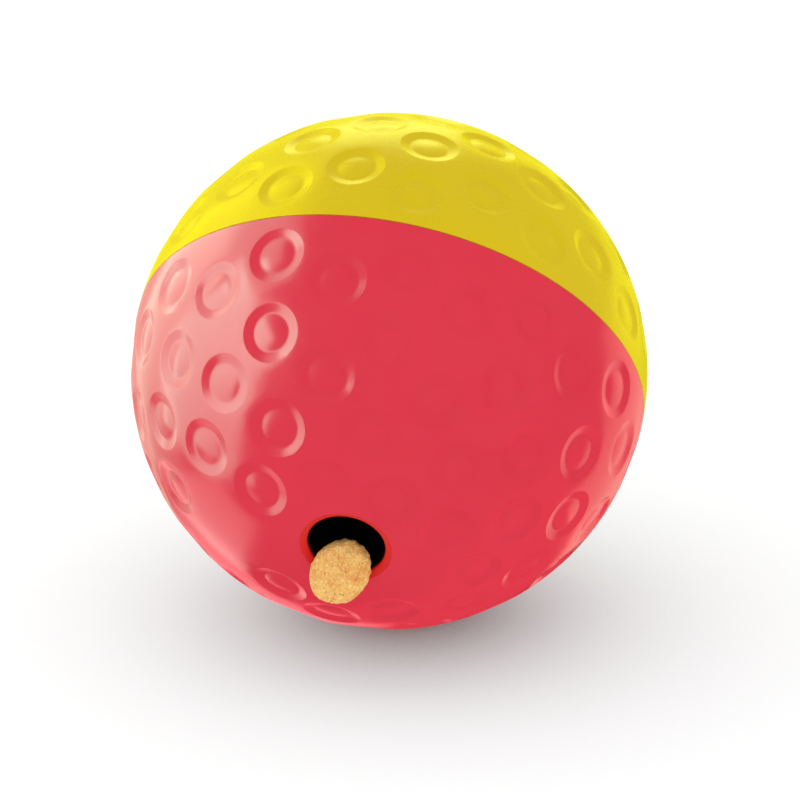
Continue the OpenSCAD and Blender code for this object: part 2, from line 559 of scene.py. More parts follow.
@dataclass(frozen=True)
class TwistLock:
    """Sizes of the lugs and notches that hold the halves together, inside the seam.

    Attributes:
        ball: The shared sizes.
        lug_count: Lugs round the spigot.
        lug_angle: Angle that one lug spans.
        twist_angle: Turn from locked to open.
        notch_extra: Extra angle of a notch past its lug.
        spigot_wall: Wall of the spigot.
        lug_reach: How far a lug stands out.
        lug_h: Height of a lug.
        flange_h: Thickness of the notched flange.
        rim_relief: How far the shoulder and the flange stand back from the rims.
        stop_angle: Angle that a stop rib spans.
        stop_gap: Angle between a lug and its stop.
        root_h: Height at which the spigot meets its skirt.
        skirt_h: Height at which the skirt meets the wall.
    """

    ball: Ball
    lug_count: int = 4
    lug_angle: float = 20.0
    twist_angle: float = 30.0
    notch_extra: float = 5.0
    spigot_wall: float = 2.2
    lug_reach: float = 2.0
    lug_h: float = 2.8
    flange_h: float = 3.2
    rim_relief: float = 0.4
    stop_angle: float = 4.0
    stop_gap: float = 0.5
    root_h: float = 3.0
    skirt_h: float = 9.0

    @property
    def flange_z(self) -> float:
        """Height of the flange's lower face over the red rim."""
        return self.ball.seam_gap + self.rim_relief

    @property
    def lug_z(self) -> float:
        """Height of a lug's lower face over the red rim."""
        return self.flange_z + self.flange_h + self.ball.run_gap

    @property
    def lug_top(self) -> float:
        """Height of a lug's upper face over the red rim."""
        return self.lug_z + self.lug_h

    @property
    def lug_r(self) -> float:
        """Radius that the lugs reach to."""
        return on_sphere(self.ball.inner_r, self.lug_top) - 2 * self.ball.run_gap

    @property
    def spigot_r(self) -> float:
        """Outer radius of the spigot."""
        return self.lug_r - self.lug_reach

    @property
    def pitch(self) -> float:
        """Angle from one lug to the next."""
        return 360 / self.lug_count

    def skirt_end(self) -> float:
        """Finds where the spigot's skirt runs into the inside of the shell.

        Returns:
            Height off the rim, towards the pole.
        """
        start = Vector((self.spigot_r - self.spigot_wall, self.root_h))
        way = Vector((self.ball.root_r, self.skirt_h)) - start
        a, b, c = way.dot(way), 2 * start.dot(way), start.dot(start) - self.ball.inner_r**2
        return (start + way * ((-b + math.sqrt(b * b - 4 * a * c)) / (2 * a))).y


@dataclass(frozen=True)
class Cloud:
    """Soft noise for a finish.

    Attributes:
        size: Size of a lump, in millimetres.
        detail: Finer layers on top.
        rough: Share of each finer layer.
        low: Value at which the noise starts to show.
        high: Value from which it shows in full.
    """

    size: float
    detail: float = 2.0
    rough: float = 0.5
    low: float = 0.3
    high: float = 0.7


@dataclass(frozen=True)
class Fleck:
    """One layer of flecks in a finish.

    Attributes:
        colour: Their colour.
        cloud: The noise that they follow.
        most: Their largest share.
    """

    colour: Colour
    cloud: Cloud
    most: float


class Shade:
    """Builds a node tree step by step, for the finishes."""

    def __init__(self, name: str) -> None:
        """Starts a material with a principled shader.

        Args:
            name: The material's name.
        """
        self.material = bpy.data.materials.new(name)
        self.material.use_nodes = True
        self.tree = self.material.node_tree
        self.shader = self.tree.nodes["Principled BSDF"]
        self.place = self.node("ShaderNodeTexCoord").outputs["Object"]

    def node(self, kind: str, **values: object) -> bpy.types.Node:
        """Adds a node.

        Args:
            kind: Blender's name for the kind of node.
            values: Settings of the node, or of its sockets where it has no such setting.

        Returns:
            The node.
        """
        made = self.tree.nodes.new(kind)
        for key, value in values.items():
            if hasattr(made, key):
                setattr(made, key, value)
            else:
                made.inputs[key.replace("_", " ").title()].default_value = value
        return made

    def link(self, source: Socket, target: Socket) -> None:
        """Links two sockets."""
        self.tree.links.new(source, target)

    def give(self, target: Socket, value: object) -> None:
        """Gives a socket its value.

        Args:
            target: The socket.
            value: A fixed value, or a socket to link it to.
        """
        if isinstance(value, Socket):
            self.link(value, target)
        else:
            target.default_value = value

    def noise(self, cloud: Cloud) -> Socket:
        """Adds noise.

        Args:
            cloud: What the noise is like.

        Returns:
            The socket with the noise's value.
        """
        scale = 1 / (cloud.size * MM)
        made = self.node("ShaderNodeTexNoise", scale=scale, detail=cloud.detail, roughness=cloud.rough)
        self.link(self.place, made.inputs["Vector"])
        return made.outputs["Fac"]

    def shown(self, cloud: Cloud, least: float, most: float) -> Socket:
        """Adds noise that gives the least value until it shows, and the most where it shows in full."""
        return self.span(self.noise(cloud), cloud.low, cloud.high, least, most)

    def cells(self, size: float) -> Socket:
        """Adds the distance to the nearest of scattered points.

        Args:
            size: About how far apart the points are, in millimetres.

        Returns:
            The socket with the distance.
        """
        made = self.node("ShaderNodeTexVoronoi", scale=1 / (size * MM))
        self.link(self.place, made.inputs["Vector"])
        return made.outputs["Distance"]

    def span(self, value: Socket, low: float, high: float, to_low: float, to_high: float) -> Socket:
        """Maps one range of a value to another and holds it there.

        Args:
            value: The value.
            low: Start of the range that is read.
            high: Its end.
            to_low: What the start becomes.
            to_high: What the end becomes.

        Returns:
            The socket with the mapped value.
        """
        made = self.node("ShaderNodeMapRange")
        self.link(value, made.inputs["Value"])
        for key, number in zip(("From Min", "From Max", "To Min", "To Max"), (low, high, to_low, to_high)):
            made.inputs[key].default_value = number
        return made.outputs["Result"]

    def blend(self, share: Socket, first: object, second: object) -> Socket:
        """Blends two colours.

        Args:
            share: Share of the second colour.
            first: A colour, or a socket with one.
            second: A colour, or a socket with one.

        Returns:
            The socket with the blended colour.
        """
        made = self.node("ShaderNodeMix", data_type="RGBA")
        self.link(share, made.inputs["Factor"])
        for key, colour in ((MIX_FIRST, first), (MIX_SECOND, second)):
            self.give(made.inputs[key], colour if isinstance(colour, Socket) else (*colour, 1))
        return made.outputs[MIX_RESULT]

    def bump(self, height: Socket, depth: float, before: Socket | None = None) -> Socket:
        """Adds a bump.

        Args:
            height: The height that the bump follows.
            depth: How deep it is, in millimetres.
            before: A bump under this one.

        Returns:
            The socket with the bent normal.
        """
        made = self.node("ShaderNodeBump", strength=1.0, distance=depth * MM)
        self.link(height, made.inputs["Height"])
        if before is not None:
            self.link(before, made.inputs["Normal"])
        return made.outputs["Normal"]

    def off_axis(self, middle: Vector, axis: Vector) -> Socket:
        """Adds the distance from an axis.

        Args:
            middle: A point of the axis, in millimetres.
            axis: Its direction.

        Returns:
            The socket with the distance, in metres.
        """
        value = self.place
        for operation, other in (("SUBTRACT", middle * MM), ("CROSS_PRODUCT", axis)):
            made = self.node("ShaderNodeVectorMath", operation=operation)
            self.link(value, made.inputs[0])
            made.inputs[1].default_value = other
            value = made.outputs["Vector"]
        length = self.node("ShaderNodeVectorMath", operation="LENGTH")
        self.link(value, length.inputs[0])
        return length.outputs["Value"]

    def set(self, **values: object) -> None:
        """Sets or links sockets of the shader, with _ for a space in their names."""
        for key, value in values.items():
            self.give(self.shader.inputs[key.replace("_", " ")], value)


@dataclass(frozen=True)
class MouldedPlastic:
    """Satin moulded plastic with a fine skin grain, a slow ripple and a faint flow of colour.

    Attributes:
        name: Name of the finish.
        colour: Its main colour.
        flow: The colour that it drifts to.
        gloss: Lowest and highest roughness.
        grain: Depth of the skin grain, in millimetres.
        tint: Colour of its sheen.
        ripple: Depth of the ripple, in depths of the grain.
        ior: Index of refraction.
        flow_cloud: The noise that the colour follows.
        gloss_cloud: The noise that the roughness follows.
        ripple_cloud: The noise of the ripple.
        grain_cloud: The noise of the grain.
    """

    name: str
    colour: Colour
    flow: Colour
    gloss: tuple[float, float]
    grain: float
    tint: Colour = (1.0, 1.0, 1.0)
    ripple: float = 2.5
    ior: float = 1.5
    flow_cloud: Cloud = Cloud(26.0, 3.0, low=0.35)
    gloss_cloud: Cloud = Cloud(9.0, 4.0, 0.6)
    ripple_cloud: Cloud = Cloud(7.0)
    grain_cloud: Cloud = Cloud(0.45, 2.0, 0.6)

    def shaded(self) -> Shade:
        """Makes the nodes of the finish.

        Returns:
            The nodes, to which more can be added.
        """
        s = Shade(self.name)
        colour = s.blend(s.shown(self.flow_cloud, 0.0, 1.0), self.colour, self.flow)
        ripple = s.bump(s.noise(self.ripple_cloud), self.grain * self.ripple)
        grain = s.bump(s.noise(self.grain_cloud), self.grain, ripple)
        s.set(Base_Color=colour, Roughness=s.shown(self.gloss_cloud, *self.gloss), Normal=grain)
        s.set(IOR=self.ior, Specular_Tint=(*self.tint, 1))
        return s

    def material(self) -> Material:
        """Makes the material."""
        return self.shaded().material


@dataclass(frozen=True)
class LipShadedPlastic(MouldedPlastic):
    """Moulded plastic with painted shade on the bevelled lip of the ball's mouth: a deeper, purer red
    there, because the bevel faces inwards, lies in shade and shows no sheen.

    Attributes:
        lip: Colour of the painted shade on the lip.
        lip_edge: Where the painted shade starts and is full, from the lip's outer radius.
    """

    # Painted shade: the deeper red of the lip's bevel, which lies in shade
    lip: Colour = (0.73, 0.010, 0.018)
    lip_edge: tuple[float, float] = (0.15, 0.0)

    def at_mouth(self, ball: Ball) -> Material:
        """Makes the material for a ball, with the painted shade on its mouth's lip.

        Args:
            ball: The ball that has the mouth.

        Returns:
            The material.
        """
        s = self.shaded()
        axis = (ball.at_mouth.to_3x3() @ UP).normalized()
        start, full = ((ball.lip_r + edge) * MM for edge in self.lip_edge)
        # Paints shade on the lip's bevel: blends to the deeper red within the lip's radius of the mouth's
        # axis
        near = s.span(s.off_axis(ball.centre, axis), start, full, 0.0, 1.0)
        plain = s.shader.inputs["Base Color"].links[0].from_socket
        s.set(Base_Color=s.blend(near, plain, self.lip))
        return s.material


@dataclass(frozen=True)
class BakedDough:
    """Dry baked dough: crumbs, darker toasted patches and brown specks.

    Attributes:
        name: Name of the finish.
        crumb: Colour of the crumb.
        flecks: What lies on it: toasted patches, toasted sand, floury grains and specks.
        dull: Lowest and highest roughness.
        lump: Depth of the lumps, in millimetres.
        grit: Depth of the grit on them, in millimetres.
        grit_size: Size of a grain of grit, in millimetres.
        sheen: Strength of its reflections.
        soft: Share of the light that goes in.
        soft_depth: How far that light goes, in millimetres.
        dull_cloud: The noise that the roughness follows.
        lump_cloud: The noise of the lumps.
    """

    name: str = "baked_dough"
    crumb: Colour = (1.0, 0.62, 0.185)
    flecks: tuple[Fleck, ...] = (
        Fleck((0.84, 0.33, 0.065), Cloud(3.2, 5.0, 0.65, 0.42, 0.68), 1.0),
        Fleck((0.84, 0.33, 0.065), Cloud(0.42, 3.0, 0.7, 0.50, 0.64), 0.9),
        Fleck((1.0, 0.84, 0.42), Cloud(0.6, 3.0, 0.7, 0.54, 0.66), 0.9),
        Fleck((0.40, 0.15, 0.035), Cloud(0.85, 2.0, 0.6, 0.63, 0.71), 0.85),
    )
    dull: tuple[float, float] = (0.78, 0.95)
    lump: float = 0.35
    grit: float = 0.12
    grit_size: float = 0.55
    sheen: float = 0.25
    soft: float = 0.08
    soft_depth: float = 1.2
    dull_cloud: Cloud = Cloud(1.2, 3.0)
    lump_cloud: Cloud = Cloud(1.1, 4.0, 0.65)

    def material(self) -> Material:
        """Makes the material.

        Returns:
            The material.
        """
        s = Shade(self.name)
        colour: object = self.crumb
        for fleck in self.flecks:
            colour = s.blend(s.shown(fleck.cloud, 0.0, fleck.most), colour, fleck.colour)
        lumps = s.bump(s.noise(self.lump_cloud), self.lump)
        grit = s.bump(s.cells(self.grit_size), self.grit, lumps)
        s.set(Base_Color=colour, Roughness=s.shown(self.dull_cloud, *self.dull), Normal=grit)
        s.set(Specular_IOR_Level=self.sheen)
        s.set(Subsurface_Weight=self.soft, Subsurface_Scale=self.soft_depth * MM)
        return s.material


# The red plastic, with painted shade on the mouth's lip
RED_PLASTIC = LipShadedPlastic(
    "red_moulded", (0.785, 0.037, 0.066), (0.765, 0.035, 0.062), (0.19, 0.24), 0.004
)
YELLOW_PLASTIC = MouldedPlastic(
    "yellow_moulded", (0.74, 0.55, 0.012), (0.72, 0.53, 0.012), (0.25, 0.31), 0.004, (1.0, 1.0, 0.05)
)
BLACK_PLASTIC = MouldedPlastic(
    "black_moulded", (0.004, 0.004, 0.004), (0.006, 0.006, 0.006), (0.6, 0.75), 0.012
)


@dataclass
class Piece:
    """A piece of the ball, which is formed as a surface and then made a Blender object.

    Attributes:
        label: Name of the piece.
        body: The body that it rides on.
        slot: The record's material slot.
        solid: The solid that it replaces.
        sharp: The angle in degrees from which an edge isn't shaded smooth.
        ball: The shared sizes.
        surface: Its points and faces.
    """

    label: ClassVar[str]
    body: ClassVar[Body]
    slot: ClassVar[Slot]
    solid: ClassVar[str]
    sharp: ClassVar[float] = 180.0

    ball: Ball
    surface: Surface = field(default_factory=Surface, init=False)

    def form(self) -> Matrix:
        """Forms the surface and returns where it goes; each piece has its own way."""
        raise NotImplementedError

    def build(self, material: Material) -> Object:
        """Builds the piece, gives it its finish and its body, and hides the solid that it stands for.

        Args:
            material: Its finish.

        Returns:
            The piece.
        """
        place = self.form()
        piece = self.surface.make(self.label, place, self.sharp)
        piece.data.materials.append(material)
        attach(piece, self.body.value)
        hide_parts(self.solid)
        LOG.info("%s: %d faces on %s", piece.name, len(piece.data.polygons), self.body.value)
        return piece


@dataclass
class HalfShell(Piece):
    """What the two dimpled half shells share. Each is built with its pole at +Z and its rim at the bottom.

    Attributes:
        lock: The twist lock's sizes.
        rim_ease: Rounding of the rim's outer edge.
        rim_count: Points round the rim.
        spacing: Distance between points on the plain surface.
    """

    sharp = 50.0

    lock: TwistLock
    rim_ease: float = 0.16
    rim_count: int = 216
    spacing: float = 2.0

    @property
    def dimple(self) -> Dimple:
        """Section of this half's dimples."""
        return Dimple(self.ball.radius)

    def spot(self, angle: float, round_from_mouth: float) -> Vector:
        """Direction of a place on the half; each half says how its columns run."""
        raise NotImplementedError

    def rows(self) -> list[tuple[int, int]]:
        """Row and place of each dimple in the full rows."""
        return [(row, k) for row in range(len(self.ball.row_angles)) for k in range(self.ball.row_count)]

    def row_spot(self, row: int, place: int) -> Vector:
        """Direction of one dimple in the full rows, where every other row stands half a column round."""
        return self.spot(self.ball.row_angles[row], self.ball.column_pitch * (place + (row % 2) / 2))

    def polar_spot(self, place: int) -> Vector:
        """Direction of one dimple in the short row round the pole."""
        return self.spot(self.ball.polar_angle, 360 / self.ball.polar_count * place)

    def outside(
        self, axes: Sequence[Vector], rim_z: float, gaps: Sequence[Hole] = ()
    ) -> tuple[Ring, list[Ring]]:
        """Lays the outer skin and sinks its dimples.

        Args:
            axes: Directions of the dimples.
            rim_z: Height of the rim's outer edge.
            gaps: Other holes, which stay open.

        Returns:
            The ring of the rim, and the rings of the open holes.
        """
        dimple = self.dimple
        holes = [Hole(axis, dimple.reach, dimple.count) for axis in axes]
        skin = SphereSkin(self.ball.radius, rim_z + self.rim_ease, self.rim_count, self.spacing)
        rim, rings = skin.lay(self.surface, [*holes, *gaps])
        for axis, ring in zip(axes, rings):
            dimple.sink(self.surface, axis, ring)
        return rim, rings[len(holes):]

    def close_rim(self, rim: Ring, inner: Ring, corners: Profile) -> None:
        """Closes the shell between its outer and inner skins, below the rim.

        Args:
            rim: Ring of the outer skin.
            inner: Ring of the inner skin.
            corners: Corners of the section from the rim's outer edge to the inner skin.
        """
        top = self.surface.points[rim[0]]
        foot = self.surface.points[inner[0]]
        start = (math.hypot(top.x, top.y), top.z)
        end = (math.hypot(foot.x, foot.y), foot.z)
        section = eased_corners([start, *corners, end], self.rim_ease)[1:-1]
        self.surface.lathe(UP, section, rim, inner, flip=True)


@dataclass
class RedHalf(HalfShell):
    """The red half: the mouth with its socket, the spigot with its lugs, and two places left plain.

    Attributes:
        plain_row: The row with the plain places.
        plain_places: Those places.
        polar_places: Dimpled places of the short row; the mouth takes the first and the room beside it.
        mouth_count: Points round the mouth.
        lip_out: How far the rounding of the lip's outer edge reaches out over the ball.
        lip_ease: Rounding of the lip's other edges.
        press_gap: Clearance of the chute in its socket.
        socket_wall: Wall of the socket.
    """

    label = "red_half_shell"
    body = Body.RED_HALF
    slot = Slot.RED
    solid = "red_shell"

    plain_row: int = 5
    plain_places: tuple[int, ...] = (2, 3)
    polar_places: tuple[int, ...] = (2, 3, 4)
    mouth_count: int = 84
    lip_out: float = 0.15
    lip_ease: float = 0.3
    press_gap: float = 0.05
    socket_wall: float = 2.2

    def spot(self, angle: float, round_from_mouth: float) -> Vector:
        """Direction of a place, from the red pole and round from the mouth."""
        a, r = math.radians(angle), math.radians(round_from_mouth)
        return Vector((-math.sin(r) * math.sin(a), math.cos(r) * math.sin(a), math.cos(a)))

    def dimple_axes(self) -> list[Vector]:
        """Lists the dimples of this half.

        Returns:
            Their directions.
        """
        plain = {(self.plain_row, k) for k in self.plain_places}
        full = [self.row_spot(*place) for place in self.rows() if place not in plain]
        return full + [self.polar_spot(k) for k in self.polar_places]

    def form(self) -> Matrix:
        """Forms the half with its mouth, spigot and lugs.

        Returns:
            Where it goes, in millimetres.
        """
        ball, lock, surface = self.ball, self.lock, self.surface
        axis = self.spot(ball.mouth_angle, 0)
        lip = Hole(axis, ball.lip_r + self.lip_out, self.mouth_count)
        rim, (lip_ring,) = self.outside(self.dimple_axes(), 0.0, [lip])
        socket_r = ball.chute_r + self.press_gap
        collar = Hole(axis, socket_r + self.socket_wall, self.mouth_count)
        inner = SphereSkin(ball.inner_r, lock.skirt_end(), self.rim_count, 2 * self.spacing)
        inner_rim, (collar_ring,) = inner.lay(surface, [collar], inward=True)
        self.open_mouth(axis, lip_ring, collar_ring, socket_r, collar.radius)
        spigot_in = lock.spigot_r - lock.spigot_wall
        top = lock.lug_top + lock.rim_relief
        self.close_rim(rim, inner_rim, [
            (ball.radius, 0.0),
            (ball.inner_r, 0.0),
            (ball.inner_r, lock.rim_relief),
            (lock.spigot_r, lock.rim_relief),
            (lock.spigot_r, -top),
            (spigot_in, -top),
            (spigot_in, lock.root_h),
        ])
        for k in range(lock.lug_count):
            root = lock.spigot_r - lock.spigot_wall / 2
            surface.sector(root, lock.lug_r, -lock.lug_top, -lock.lug_z, k * lock.pitch, lock.lug_angle)
        return ball.stand @ turn(180, "X")

    def open_mouth(self, axis: Vector, lip: Ring, collar: Ring, socket_r: float, collar_r: float) -> None:
        """Joins the outer and inner skins through the mouth: lip, land, socket and collar.

        Args:
            axis: The mouth's axis.
            lip: Ring of the outer skin round the lip.
            collar: Ring of the inner skin round the socket.
            socket_r: Radius of the socket.
            collar_r: Outer radius of the socket's wall.
        """
        ball = self.ball
        reach = ball.lip_r + self.lip_out
        corners = [
            (reach, on_sphere(ball.radius, reach)),
            (ball.lip_r, ball.lip_z),
            (ball.mouth_r, ball.mouth_z),
            (ball.mouth_r, ball.chute_top),
            (socket_r, ball.chute_top),
            (socket_r, ball.socket_end),
            (collar_r, ball.socket_end),
            (collar_r, on_sphere(ball.inner_r, collar_r)),
        ]
        self.surface.lathe(axis, eased_corners(corners, self.lip_ease)[1:-1], lip, collar)


@dataclass
class YellowHalf(HalfShell):
    """The yellow half: dimples right up to its pole, and the notched flange that takes the lugs."""

    label = "yellow_half_shell"
    body = Body.YELLOW_HALF
    slot = Slot.YELLOW
    solid = "yellow_shell"

    def spot(self, angle: float, round_from_mouth: float) -> Vector:
        """Direction of a place, from the yellow pole and round from above the mouth."""
        a, r = math.radians(angle), math.radians(round_from_mouth + self.ball.column_offset)
        return Vector((-math.sin(r) * math.sin(a), -math.cos(r) * math.sin(a), math.cos(a)))

    def dimple_axes(self) -> list[Vector]:
        """Lists the dimples of this half.

        Returns:
            Their directions.
        """
        full = [self.row_spot(*place) for place in self.rows()]
        short = [self.polar_spot(k) for k in range(self.ball.polar_count)]
        return [*full, *short, UP]

    def form(self) -> Matrix:
        """Forms the half with its flange and stops.

        Returns:
            Where it goes, in millimetres.
        """
        ball, lock, surface = self.ball, self.lock, self.surface
        rim, _ = self.outside(self.dimple_axes(), ball.seam_gap)
        inner = SphereSkin(ball.inner_r, lock.flange_z, self.rim_count, 2 * self.spacing)
        inner_rim, _ = inner.lay(surface, [], inward=True)
        self.close_rim(rim, inner_rim, [(ball.radius, ball.seam_gap), (ball.inner_r, ball.seam_gap)])
        flange_in = lock.spigot_r + ball.run_gap
        flange_top = lock.flange_z + lock.flange_h
        flange_angle = lock.pitch - lock.lug_angle - lock.notch_extra
        stop_in = flange_in + ball.run_gap
        stop_low = lock.flange_z + lock.flange_h / 2
        for k in range(lock.lug_count):
            flange_mid = (k + 0.5) * lock.pitch - lock.twist_angle
            surface.sector(flange_in, ball.root_r, lock.flange_z, flange_top, flange_mid, flange_angle)
            stop_mid = k * lock.pitch + (lock.lug_angle + lock.stop_angle) / 2 + lock.stop_gap
            surface.sector(stop_in, ball.root_r, stop_low, lock.lug_top, stop_mid, lock.stop_angle)
        return ball.stand


@dataclass
class TreatChute(Piece):
    """The black tube behind the mouth, with a collar that stops on the socket and a flared inner end.

    Attributes:
        length: Length of the tube.
        collar_h: Height of the collar.
        collar_reach: How far the collar stands out.
        flare: How far the inner end flares.
        flare_h: Height of that flare.
        ease: Rounding of its edges.
        count: Points round the tube.
    """

    label = "treat_chute_tube"
    body = Body.RED_HALF
    slot = Slot.BLACK
    solid = "treat_chute"
    sharp = 40.0

    length: float = 23.0
    collar_h: float = 2.2
    collar_reach: float = 2.25
    flare: float = 1.0
    flare_h: float = 2.0
    ease: float = 0.25
    count: int = 96

    def form(self) -> Matrix:
        """Forms the chute.

        Returns:
            Where it goes, in millimetres.
        """
        ball = self.ball
        end = ball.chute_top - self.length
        collar_low = ball.socket_end - self.collar_h
        middle = ((ball.mouth_r + ball.chute_r) / 2, ball.chute_top)
        section = eased_corners([
            middle,
            (ball.chute_r, ball.chute_top),
            (ball.chute_r, ball.socket_end),
            (ball.chute_r + self.collar_reach, ball.socket_end),
            (ball.chute_r + self.collar_reach, collar_low),
            (ball.chute_r, collar_low),
            (ball.chute_r, end),
            (ball.mouth_r + self.flare, end),
            (ball.mouth_r, end + self.flare_h),
            (ball.mouth_r, ball.chute_top),
            middle,
        ], self.ease)
        first = self.surface.ring(UP, *section[0], self.count)
        self.surface.lathe(UP, section[1:-1], first, first, flip=True)
        return ball.at_mouth


@dataclass(frozen=True)
class Biscuit:
    """One baked biscuit: a round, slightly domed tablet with an uneven, crumbly skin.

    Attributes:
        radius: Its radius.
        height: Its thickness at the middle.
        edge: Radius of its rounded edge.
        lump: Depth of the broad unevenness.
        crumb: Depth of the crumbs.
        pit: Depth of the pits.
        rings: Rings from one face's middle to the other's.
        count: Points round each ring.
        face_steps: Pieces that the section of a face is cut into.
        edge_steps: Pieces that the section of the edge is cut into.
        lump_scale: Fineness of the broad unevenness, per millimetre.
        crumb_scale: Fineness of the crumbs.
        crumb_layers: Falloff, fineness and number of the crumbs' layers.
        pit_scale: Fineness of the pits.
        pit_from: Value of the noise from which a pit starts.
        most_out: How far the skin stands out at most.
        sunk: How far all of it is sunk.
        seed_step: How far apart two biscuits lie in the noise.
    """

    radius: float = 7.5
    height: float = 6.4
    edge: float = 2.6
    lump: float = 0.28
    crumb: float = 0.3
    pit: float = 0.5
    rings: int = 64
    count: int = 120
    face_steps: int = 20
    edge_steps: int = 30
    lump_scale: float = 0.2
    crumb_scale: float = 0.75
    crumb_layers: tuple[float, float, int] = (0.7, 2.2, 5)
    pit_scale: float = 0.95
    pit_from: float = 0.2
    most_out: float = 0.2
    sunk: float = 0.05
    seed_step: tuple[float, float, float] = (17.3, 5.1, 9.7)

    def section(self) -> list[Vector]:
        """Spaces points evenly along the plain section, from the top's middle to the bottom's.

        Returns:
            Points as distance from the axis and height.
        """
        face_r = self.radius - self.edge
        rise = self.height / 2 - self.edge
        dome_r = (face_r**2 + rise**2) / (2 * rise)
        across = [face_r * k / self.face_steps for k in range(self.face_steps)]
        top = [(off, on_sphere(dome_r, off) - dome_r + self.height / 2) for off in across]
        turns = [math.radians(90 - 180 * k / self.edge_steps) for k in range(self.edge_steps + 1)]
        edge = [(face_r + self.edge * math.cos(a), self.edge * math.sin(a)) for a in turns]
        line = np.array(top + edge + [(x, -z) for x, z in reversed(top)])
        along = np.concatenate([[0], np.cumsum(np.hypot(*np.diff(line, axis=0).T))])
        at = np.linspace(0, along[-1], self.rings + 1)
        return [Vector((np.interp(s, along, line[:, 0]), np.interp(s, along, line[:, 1]))) for s in at]

    def worn(self, point: Vector, away: Vector, seed: Vector) -> Vector:
        """Moves a point of the plain biscuit to its uneven skin.

        Args:
            point: The point.
            away: The skin's outward direction there.
            seed: Where in the noise this biscuit lies.

        Returns:
            The moved point.
        """
        broad = noise.noise(point * self.lump_scale + seed) * self.lump
        crumbs = noise.fractal(point * self.crumb_scale + seed, *self.crumb_layers) * self.crumb
        pits = -self.pit * max(0.0, noise.noise(point * self.pit_scale - seed) - self.pit_from)
        return point + away * min(self.most_out, broad + crumbs + pits - self.sunk)

    def bake(self, surface: Surface, place: Matrix, seed: int) -> None:
        """Adds one biscuit to a surface.

        Args:
            surface: The surface to add to.
            place: Where it lies.
            seed: Its number, which makes it unlike the others.
        """
        spot = Vector(self.seed_step) * (seed + 1)
        section = self.section()
        rings = []
        for k in range(1, self.rings):
            slope = section[k + 1] - section[k - 1]
            ring = []
            for n in range(self.count):
                a = math.tau * n / self.count
                side = Vector((math.cos(a), math.sin(a), 0))
                point = side * section[k].x + Vector((0, 0, section[k].y))
                away = (side * -slope.y + Vector((0, 0, slope.x))).normalized()
                ring.append(place @ self.worn(point, away, spot))
            rings.append(surface.add(ring))
        surface.chain(rings, flip=True)
        for ring, z, up in ((rings[0], self.height / 2, 1), (rings[-1], -self.height / 2, -1)):
            tip = Vector((0, 0, z))
            hub = surface.add([place @ self.worn(tip, Vector((0, 0, up)), spot)])[0]
            surface.fan(ring if up > 0 else ring[::-1], hub)


@dataclass
class LeavingBiscuit(Piece):
    """The biscuit that leans on the lip on its way out.

    Attributes:
        shape: Its shape.
        lean: Lean of its face, up from the mouth's axis.
        spin: Turn of its longer side about its own axis.
        oval: Share by which it is longer one way and shorter the other.
    """

    label = "leaving_biscuit"
    body = Body.LEAVING_BISCUIT
    slot = Slot.BISCUIT
    solid = "biscuit"

    shape: Biscuit
    lean: float = 43.0
    spin: float = 66.0
    oval: float = 0.08

    def form(self) -> Matrix:
        """Forms the biscuit where its solid is.

        Returns:
            No move, as it is there already.
        """
        low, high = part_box("biscuit")
        middle = (Vector(low) + Vector(high)) / 2 / MM
        lie = self.ball.at_mouth.to_3x3().to_4x4() @ turn(-self.lean, "X") @ turn(self.spin, "Z")
        lie = lie @ Matrix.Diagonal((1 + self.oval, 1 - self.oval, 1, 1))
        self.shape.bake(self.surface, Matrix.Translation(middle) @ lie, 0)
        return Matrix.Identity(4)


@dataclass
class LooseFill(Piece):
    """The loose biscuits that lie inside the ball.

    Attributes:
        shape: Shape of each biscuit.
        count: Biscuits in the ring round the lowest one.
        angle: Angle from the lowest one to the ring, seen from the ball's centre.
    """

    label = "loose_biscuit_fill"
    body = Body.FILL
    slot = Slot.BISCUIT
    solid = "loose_biscuits"

    shape: Biscuit
    count: int = 6
    angle: float = 15.8

    def form(self) -> Matrix:
        """Forms the loose biscuits where they lie.

        Returns:
            No move, as they are there already.
        """
        lowest = self.ball.inner_r - self.ball.run_gap - self.shape.height / 2
        down = Matrix.Translation(-lowest * UP)
        middle = Matrix.Translation(self.ball.centre)
        self.shape.bake(self.surface, middle @ down, 1)
        for k in range(self.count):
            lie = turn(360 * k / self.count, "Z") @ turn(self.angle, "X")
            self.shape.bake(self.surface, middle @ lie @ down, k + 2)
        return Matrix.Identity(4)


